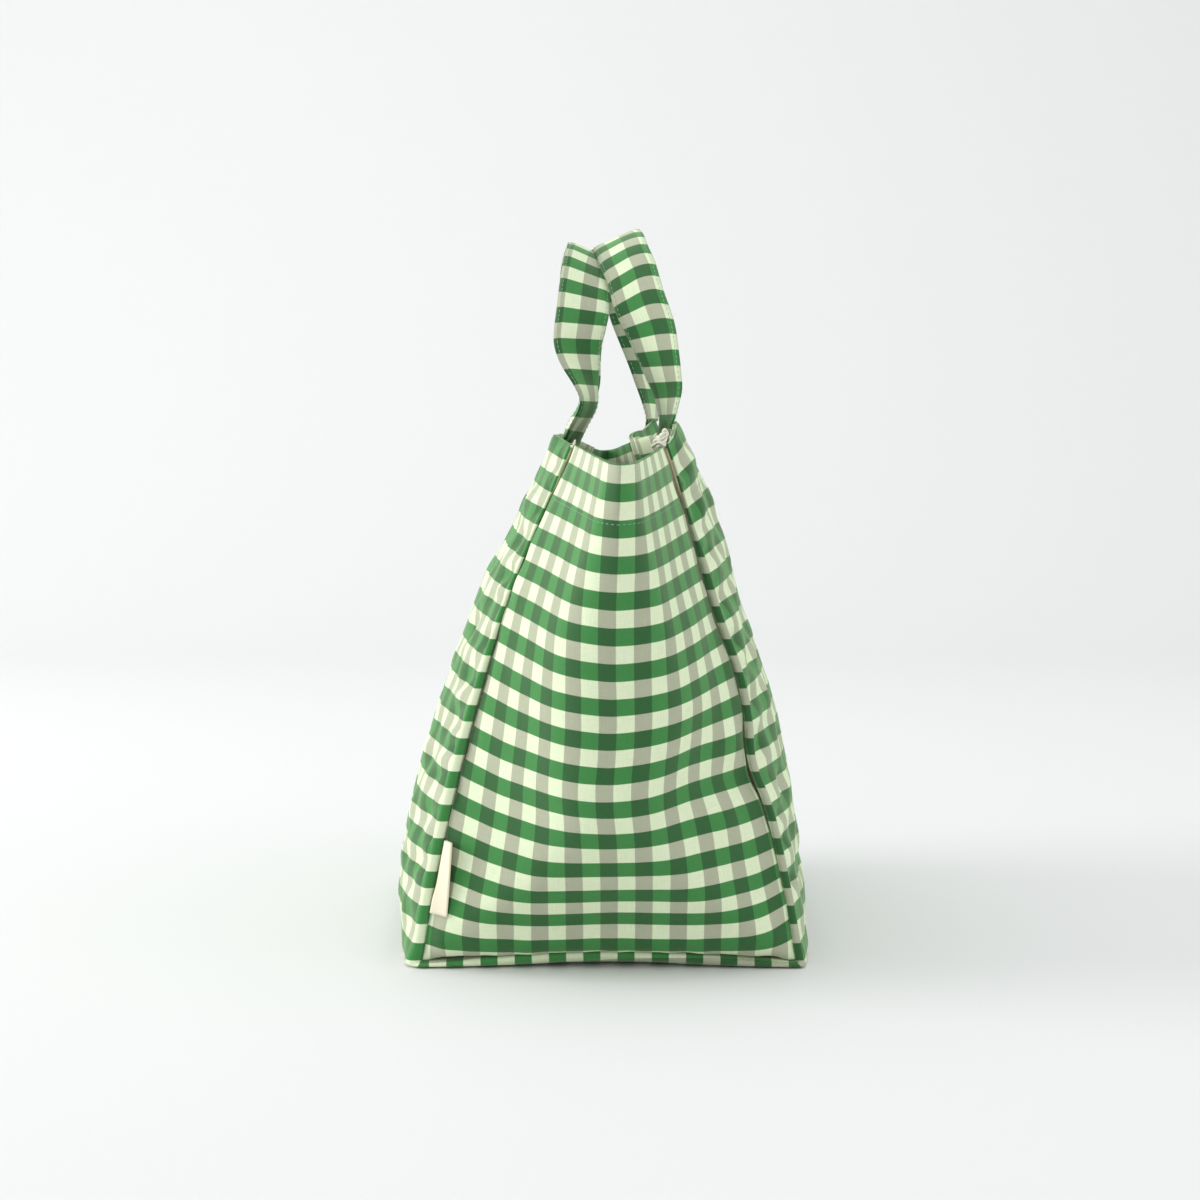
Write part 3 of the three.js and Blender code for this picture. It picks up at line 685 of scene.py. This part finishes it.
def strap_grid(side, half_spacing, rise, near, far, bank, bank_from, twists):
    """Middle surface of a strap, in millimetres, from the near sewn end to the far one."""
    across = np.linspace(-1, 1, 17) * strap_width / 2
    free = []
    for turn in np.linspace(0, math.pi, 161):
        up = rise * math.sin(turn)
        sign, knots = (1, near) if turn < math.pi / 2 else (-1, far)
        y = np.interp(up, knots[:, 0], knots[:, 1])
        twist = math.radians(np.interp(up, twists[:, 0], twists[:, 1]))
        tilt = math.radians(bank) * float(smooth(np.array((up - bank_from) / 55)))
        centre = np.array([half_spacing * math.cos(turn), y, strap_root + up])
        wide = np.array([math.cos(twist) * sign, side * math.sin(twist) * math.cos(tilt),
                         math.sin(twist) * math.sin(tilt)])
        free.append(centre + across[:, None] * wide)
    sewn = {}
    for limb in (1, -1):
        depths = np.linspace(0, strap_sewn, 24)
        columns = [panel_inside(side, limb * (half_spacing + u), depths) for u in across]
        sewn[limb] = np.stack(columns, axis=1)
    grid = np.concatenate([sewn[1][::-1], np.array(free), sewn[-1]])
    for _ in range(5):
        grid[1:-1] = (grid[:-2] + 2 * grid[1:-1] + grid[2:]) / 4
    return grid


def tube_piece(name, rings, faces, caps, flat, material):
    """A closed piece from rings of points and their flat pattern, both in millimetres."""
    mesh = bpy.data.meshes.new(name)
    mesh.from_pydata((rings.reshape(-1, 3) * 0.001).tolist(), [], faces.tolist() + caps)
    loops = np.zeros(len(mesh.loops), np.int32)
    mesh.loops.foreach_get("vertex_index", loops)
    layer = mesh.uv_layers.new(name="cut")
    layer.data.foreach_set("uv", (flat.reshape(-1, 2) * 0.001)[loops].reshape(-1).astype(np.float32))
    mesh.polygons.foreach_set("use_smooth", np.ones(len(mesh.polygons), bool))
    mesh.materials.append(material)
    piece = bpy.data.objects.new(name, mesh)
    bpy.context.collection.objects.link(piece)
    return piece


def strap_piece(name, grid, material, first_mark, skew):
    """The strap about that grid, with a groove along each line of stitches, and its length."""
    rows, columns = grid.shape[:2]
    centres = grid[:, columns // 2]
    length = np.concatenate([[0], np.cumsum(np.linalg.norm(np.diff(centres, axis=0), axis=1))])
    cross = np.linspace(-1, 1, columns)
    groove = 0.35 * np.exp(-((np.abs(cross) - 0.875) / 0.05) ** 2)
    profile = strap_thick / 2 * (1 - np.abs(cross) ** 10) ** 0.5 - groove
    normals = surface_normals(grid)
    layers = [grid + normals * (sign * profile)[None, :, None] for sign in (1, -1)]
    ring = np.concatenate([layers[0], layers[1][:, -2:0:-1]], axis=1)
    count = ring.shape[1]
    ring_cross = np.concatenate([cross, cross[-2:0:-1]])[None, :]
    pulled = skew * smooth((centres[:, 2] - 320) / 40) * (np.arange(rows) < rows / 2)
    slant = 1.6 * ring_cross - 4 * np.maximum(ring_cross, 0) ** 2
    run = length[:, None] - first_mark - pulled[:, None] * slant
    at = np.arange(rows * count).reshape(rows, count)
    nxt = np.roll(at, -1, axis=1)
    faces = np.stack([at[:-1], nxt[:-1], nxt[1:], at[1:]], axis=-1).reshape(-1, 4)[:, ::-1]
    caps = [at[0].tolist(), at[-1][::-1].tolist()]
    flat = np.stack(np.broadcast_arrays(ring_cross * strap_width / 2, run), axis=-1)
    piece = tube_piece(name, ring, faces, caps, flat, material)
    return piece, length[-1]


# Each limb's path is (height above the rim, Y), and each twist (height, degrees).
front_near = np.array([(0, -16.6), (4, -13.4), (9, -10.8), (14, -10.3), (20, -12), (27, -14), (36, -16.4),
                       (45, -17.2), (61, -14.4), (78, -12.8), (90, -11.2), (101, -8.6)])
front_far = np.array([(0, -21), (5, -16.8), (10, -13.4), (16, -11.4), (24, -12), (31, -14.6), (40, -16.8),
                      (48, -17.2), (65, -14.6), (83, -14.5), (92, -13), (101, -8.6)])
back_near = np.array([(0, 32.5), (18, 32.3), (34.4, 27.9), (52.8, 23), (68, 17), (85, 12.7), (94, 8.9),
                      (101.4, 6.7), (106, 4.0)])
back_far = np.array([(0, 27.5), (18, 27), (35, 24), (53, 20), (70, 14.5), (85, 10.5), (106, 4)])
front_twist = np.array([(0, 19), (14, 19), (20, 24), (26, 35), (32, 46), (43, 62), (58, 82), (70, 90)])
back_twist = np.array([(0, 13), (6, 17), (12, 25), (20, 36), (32, 47), (43, 58), (58, 76), (74, 90)])
front_strap_cloth = check_cloth("front_strap_cloth", 11.75, 4.5)
back_strap_cloth = check_cloth("back_strap_cloth", 2.5, 4.5)
straps = {}
for word, side, near, far, half, rise, bank, bank_from, cloth, mark, skew in (
        ("front", -1, front_near, front_far, 69, 98.5, 24, 42, front_strap_cloth, -3.4, 0),
        ("back", 1, back_near, back_far, 72, 106, 24, 28, back_strap_cloth, -0.6, 1.6)):
    twists = front_twist if side < 0 else back_twist
    straps[word] = strap_grid(side, half, rise, near, far, bank, bank_from, twists)
    piece, length = strap_piece(f"{word}_strap_cloth", straps[word], cloth, mark, skew)
    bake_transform(piece)
    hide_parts(f"{word}_handle", f"{word}_handle_right_end", f"{word}_handle_left_end")


# Stitching: pale green thread, a stitch every 3 mm, along the hem of the mouth and along both edges
# of each strap. A stitch is a small bead of thread, laid along its line by a node tree.
stitch_pitch, hem_line = 3.0, 30.5


def stitch_tree(thread):
    tree = bpy.data.node_groups.new("stitches", "GeometryNodeTree")
    tree.is_modifier = True
    face = tree.interface
    face.new_socket("Geometry", in_out="INPUT", socket_type="NodeSocketGeometry")
    face.new_socket("Stitch Length", in_out="INPUT", socket_type="NodeSocketFloat")
    face.new_socket("Thread Width", in_out="INPUT", socket_type="NodeSocketFloat")
    face.new_socket("Geometry", in_out="OUTPUT", socket_type="NodeSocketGeometry")
    nodes, links = tree.nodes, tree.links
    inputs, outputs = nodes.new("NodeGroupInput"), nodes.new("NodeGroupOutput")
    turn = nodes.new("FunctionNodeAxesToRotation")
    turn.primary_axis, turn.secondary_axis = "X", "Z"
    for word, socket in (("along", turn.inputs[0]), ("out", turn.inputs[1])):
        stored = nodes.new("GeometryNodeInputNamedAttribute")
        stored.data_type = "FLOAT_VECTOR"
        stored.inputs["Name"].default_value = word
        links.new(stored.outputs["Attribute"], socket)
    bead = nodes.new("GeometryNodeMeshIcoSphere")
    bead.inputs["Radius"].default_value = 0.5
    bead.inputs["Subdivisions"].default_value = 1
    size = nodes.new("ShaderNodeCombineXYZ")
    links.new(inputs.outputs["Stitch Length"], size.inputs[0])
    links.new(inputs.outputs["Thread Width"], size.inputs[1])
    links.new(inputs.outputs["Thread Width"], size.inputs[2])
    place = nodes.new("GeometryNodeInstanceOnPoints")
    links.new(inputs.outputs["Geometry"], place.inputs["Points"])
    links.new(bead.outputs["Mesh"], place.inputs["Instance"])
    links.new(turn.outputs[0], place.inputs["Rotation"])
    links.new(size.outputs[0], place.inputs["Scale"])
    real = nodes.new("GeometryNodeRealizeInstances")
    links.new(place.outputs[0], real.inputs[0])
    dress = nodes.new("GeometryNodeSetMaterial")
    dress.inputs["Material"].default_value = thread
    links.new(real.outputs[0], dress.inputs["Geometry"])
    links.new(dress.outputs[0], outputs.inputs[0])
    return tree


def stitch_piece(name, lines, length, width):
    """Stitches on lines of (points, outward directions), in millimetres."""
    places, alongs, outs = [], [], []
    for points, outward in lines:
        run = np.concatenate([[0], np.cumsum(np.linalg.norm(np.diff(points, axis=0), axis=1))])
        marks = np.arange(stitch_pitch / 2, run[-1] - 1, stitch_pitch)
        along = np.gradient(points, axis=0)
        for made, source in ((places, points), (alongs, along), (outs, outward)):
            made.append(np.stack([np.interp(marks, run, source[:, k]) for k in range(3)], axis=-1))
    mesh = bpy.data.meshes.new(name)
    mesh.from_pydata((np.concatenate(places) * 0.001).tolist(), [], [])
    for word, values in (("along", alongs), ("out", outs)):
        stored = mesh.attributes.new(word, "FLOAT_VECTOR", "POINT")
        stored.data.foreach_set("vector", np.concatenate(values).reshape(-1).astype(np.float32))
    piece = bpy.data.objects.new(name, mesh)
    bpy.context.collection.objects.link(piece)
    modifier = piece.modifiers.new("stitches", "NODES")
    modifier.node_group = stitches
    for item in stitches.interface.items_tree:
        if item.in_out == "INPUT" and item.name in ("Stitch Length", "Thread Width"):
            modifier[item.identifier] = (length if item.name == "Stitch Length" else width) / 1000
    graph = bpy.context.evaluated_depsgraph_get()
    plain = bpy.data.meshes.new_from_object(piece.evaluated_get(graph))
    piece.modifiers.clear()
    piece.data = plain
    return piece


thread = bpy.data.materials.new("thread")
thread.use_nodes = True
thread_shader = thread.node_tree.nodes["Principled BSDF"]
thread_shader.inputs["Base Color"].default_value = (0.30, 0.50, 0.36, 1)
thread_shader.inputs["Roughness"].default_value = 0.7
stitches = stitch_tree(thread)
hem_lines = []
for word, points in gusset_faces.items():
    outward = surface_normals(points) * (-1 if word == "right" else 1)
    row = np.argmin(np.abs(gusset_heights - (gusset_length - hem_line)))
    hem_lines.append(((points + outward * 0.5)[row, 6:-6], outward[row, 6:-6]))
swayed = sway(strip)
outward = surface_normals(swayed)
inner = np.abs(strip_columns) < rim_half_width
for length in (hem_line, strip_length - hem_line):
    row = np.argmin(np.abs(strip_lengths - length))
    hem_lines.append(((swayed + outward * 0.5)[row, inner], outward[row, inner]))
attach(stitch_piece("hem_stitches", hem_lines, 2.1, 0.34), "bag")
for word, grid in straps.items():
    normals = surface_normals(grid)
    edge_lines = [(grid[:, edge] + normals[:, edge] * face * 0.85, normals[:, edge] * face)
                  for edge in (1, -2) for face in (1, -1)]
    piece = stitch_piece(f"{word}_strap_stitches", edge_lines, 2.5, 0.32)
    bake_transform(piece)


# Label: a blank cream ribbon, 39 mm long, folded double and caught in the front seam of the right-hand
# gusset. It stands out more at its top than at its bottom.
label_cloth = plain_cloth("label_cloth", (0.83, 0.76, 0.60), 1800)
label_length, label_foot, label_reach, label_half_gap = 39, 30.0, 10, 0.5
label_rows = np.linspace(0, 1, 25)
fold = np.linspace(0.4, 2.74, 5)
label_path = np.concatenate([np.linspace(0, label_reach, 9), label_reach + 0.8 * np.sin(fold),
                             np.linspace(label_reach, 0, 9)])
label_lift = label_half_gap * np.concatenate([np.ones(9), np.cos(fold), -np.ones(9)])
label_points = []
for share in label_rows:
    x, y, z, _ = end_line(np.array(label_foot + label_length * share))
    tilt = math.radians(24 + 44 * share)
    curl = label_path ** 2 / 60 * (1 - share)
    out = np.array([math.sin(tilt), math.cos(tilt)])
    rise = np.array([math.cos(tilt), -math.sin(tilt)])
    past_seam = np.maximum(label_path, 1.15 * float(smooth(np.array((share - 0.15) / 0.3))))
    offset = out[None, :] * past_seam[:, None] + rise[None, :] * (label_lift + curl)[:, None]
    label_points.append(np.stack([x + 2.4 + offset[:, 0], seam_inset - y + 0.8 + offset[:, 1],
                                  z - 0.12 * label_path * (1 - share)], axis=-1))
label_points = np.array(label_points)
label_run = np.concatenate([[0], np.cumsum(np.linalg.norm(np.diff(label_points[0], axis=0), axis=1))])
label_cut = np.stack(np.meshgrid(label_run, label_rows * label_length), axis=-1)
label = cloth_piece("label_ribbon", label_points, label_cut, 0.45, label_cloth)
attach(label, "label")
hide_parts("label_tab")


# Corner tacks: bunched hem and thread on top of each end seam, wound round a few times to hold the
# corner. The back right one is thick and pulled over to its back; the others are short ends.
tack_thread = plain_cloth("tack_thread", (0.80, 0.80, 0.66), 2600)
tack_steps, tack_sides, tack_coils = 90, 10, 5
turns = np.linspace(0, 1, tack_steps)
around = np.linspace(0, 2 * math.pi, tack_sides + 1)[:-1]
coil = 2 * math.pi * tack_coils * turns
corner_x, corner_y, corner_z, _ = end_line(np.array(panel_length))
for word, side in (("front", -1), ("back", 1)):
    for end_word, end in (("right", 1), ("left", -1)):
        if (side, end) == (1, 1):
            thick, height, inward, lean = 1.0, 10, 10.4, np.array([0.1, 0.5, 0.86])
        else:
            thick, height, inward, lean = 0.5, 3.2, 6.2, np.array([0.1, -0.3, 0.95])
        random = np.random.default_rng(5 + side + 3 * end)
        uneven = 1 + 0.5 * random.normal(0, 1, tack_steps).cumsum() / 9
        wide = 2.9 * thick * (1 - 0.3 * turns) * uneven
        root = np.array([corner_x, corner_y - inward, corner_z - 2.0])
        winding = np.stack([wide * np.cos(coil), wide * np.sin(coil), 0.8 * np.sin(2.3 * coil)], axis=-1)
        path = (root + lean * (height * turns)[:, None] + winding) * np.array([end, side, 1])
        forward = np.gradient(path, axis=0)
        forward /= np.linalg.norm(forward, axis=1, keepdims=True)
        sideways = np.cross(forward, np.array([0.3, 0.2, 0.93]))
        sideways /= np.linalg.norm(sideways, axis=1, keepdims=True)
        upward = np.cross(sideways, forward)
        radius = (0.8 + 0.15 * np.sin(60 * turns))[:, None] * thick
        ring = (path[:, None] + sideways[:, None] * (radius * np.cos(around))[..., None]
                + upward[:, None] * (radius * np.sin(around))[..., None])
        at = np.arange(tack_steps * tack_sides).reshape(tack_steps, tack_sides)
        nxt = np.roll(at, -1, axis=1)
        faces = np.stack([at[:-1], nxt[:-1], nxt[1:], at[1:]], axis=-1).reshape(-1, 4)
        caps = [at[0][::-1].tolist(), at[-1].tolist()]
        flat = np.stack(np.broadcast_arrays(around[None, :], 60 * turns[:, None]), axis=-1)
        piece = tube_piece(f"{word}_{end_word}_tack", sway(ring), faces, caps, flat, tack_thread)
        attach(piece, "bag")
        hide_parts(f"{word}_{end_word}_corner_tack")
